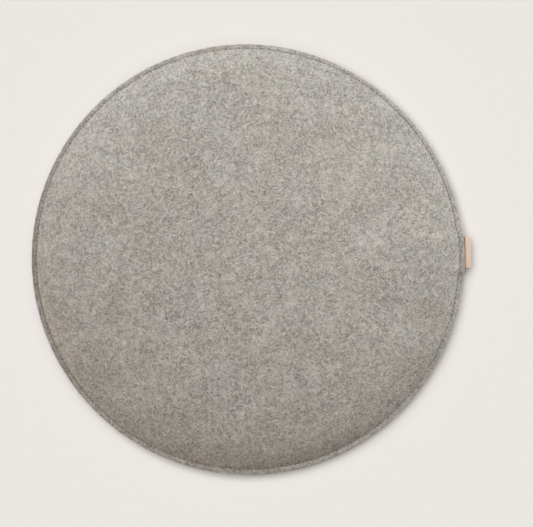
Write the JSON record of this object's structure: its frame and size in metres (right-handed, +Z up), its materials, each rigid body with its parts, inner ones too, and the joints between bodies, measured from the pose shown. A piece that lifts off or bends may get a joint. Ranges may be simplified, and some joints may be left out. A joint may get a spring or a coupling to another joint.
{
  "type": "round felt seat cushion",
  "caption": "Flat round seat cushion of thick grey wool felt, sewn near its cut edge round a soft filling, with a folded leather tab in the seam.",
  "frame": {"origin": "centre of the flat underside, on the surface that the cushion lies on", "axes": "+Z up out of the crown, +X towards the leather tab, +Y completes the right-handed frame"},
  "size_m": [0.3871, 0.379, 0.041],
  "materials": {
    "grey_felt": "soft matt wool felt in a warm grey melange",
    "tan_leather": "smooth undyed vegetable-tanned leather, matt",
    "grey_thread": "matt sewing thread in the felt's grey"
  },
  "bodies": {
    "root": {"felt_cushion": "grey_felt", "leather_tab": "tan_leather"}
  },
  "joints": []
}
